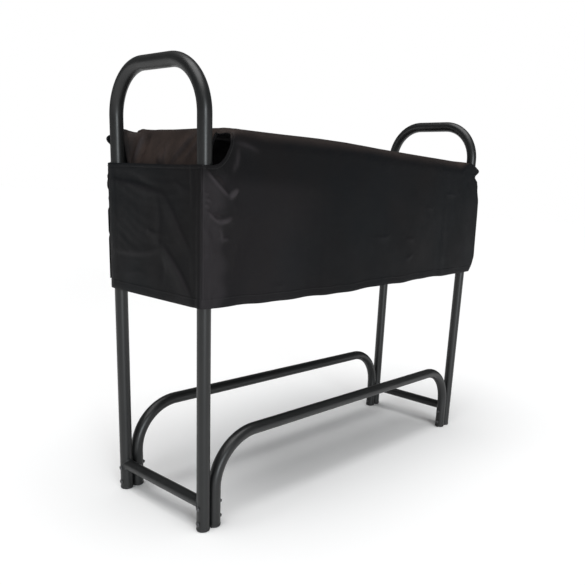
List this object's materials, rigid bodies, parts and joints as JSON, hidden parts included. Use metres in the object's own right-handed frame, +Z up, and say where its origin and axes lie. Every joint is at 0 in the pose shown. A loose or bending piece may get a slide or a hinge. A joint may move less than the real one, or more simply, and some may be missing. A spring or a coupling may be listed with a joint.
{
  "type": "firewood log rack",
  "caption": "Free-standing firewood rack: arched round-tube end frames, bent base rails that form legs, and a slip-on fabric cover with end slots.",
  "frame": {"origin": "on the floor, at the centre of the rack's footprint", "axes": "+Z up, +X along the rack's length, -Y towards the front of the rack"},
  "size_m": [1.305, 0.409, 1.1998],
  "materials": {
    "powder_coat": "semi-gloss black powder coat",
    "fastener": "black coated steel",
    "foot_plug": "satin black",
    "cover_fabric": "black coated woven cloth, soft sheen"
  },
  "bodies": {
    "frame": {"left_arch_tube": "powder_coat", "left_crossbar": "powder_coat", "right_arch_tube": "powder_coat", "right_crossbar": "powder_coat", "front_base_rail": "powder_coat", "rear_base_rail": "powder_coat", "left_front_upper_bolt": "fastener", "left_front_upper_nut": "fastener", "left_front_lower_bolt": "fastener", "left_front_lower_nut": "fastener", "left_front_upright_foot_plug": "foot_plug", "left_front_rail_foot_plug": "foot_plug", "left_rear_upper_bolt": "fastener", "left_rear_upper_nut": "fastener", "left_rear_lower_bolt": "fastener", "left_rear_lower_nut": "fastener", "left_rear_upright_foot_plug": "foot_plug", "left_rear_rail_foot_plug": "foot_plug", "right_front_upper_bolt": "fastener", "right_front_upper_nut": "fastener", "right_front_lower_bolt": "fastener", "right_front_lower_nut": "fastener", "right_front_upright_foot_plug": "foot_plug", "right_front_rail_foot_plug": "foot_plug", "right_rear_upper_bolt": "fastener", "right_rear_upper_nut": "fastener", "right_rear_lower_bolt": "fastener", "right_rear_lower_nut": "fastener", "right_rear_upright_foot_plug": "foot_plug", "right_rear_rail_foot_plug": "foot_plug"},
    "cover": {"cover": "cover_fabric"}
  },
  "joints": [
    {"name": "cover_lift", "type": "slide", "parent": "frame", "child": "cover", "axis": [0, 0, 1], "range_m": [-0.45, 0.7]}
  ]
}
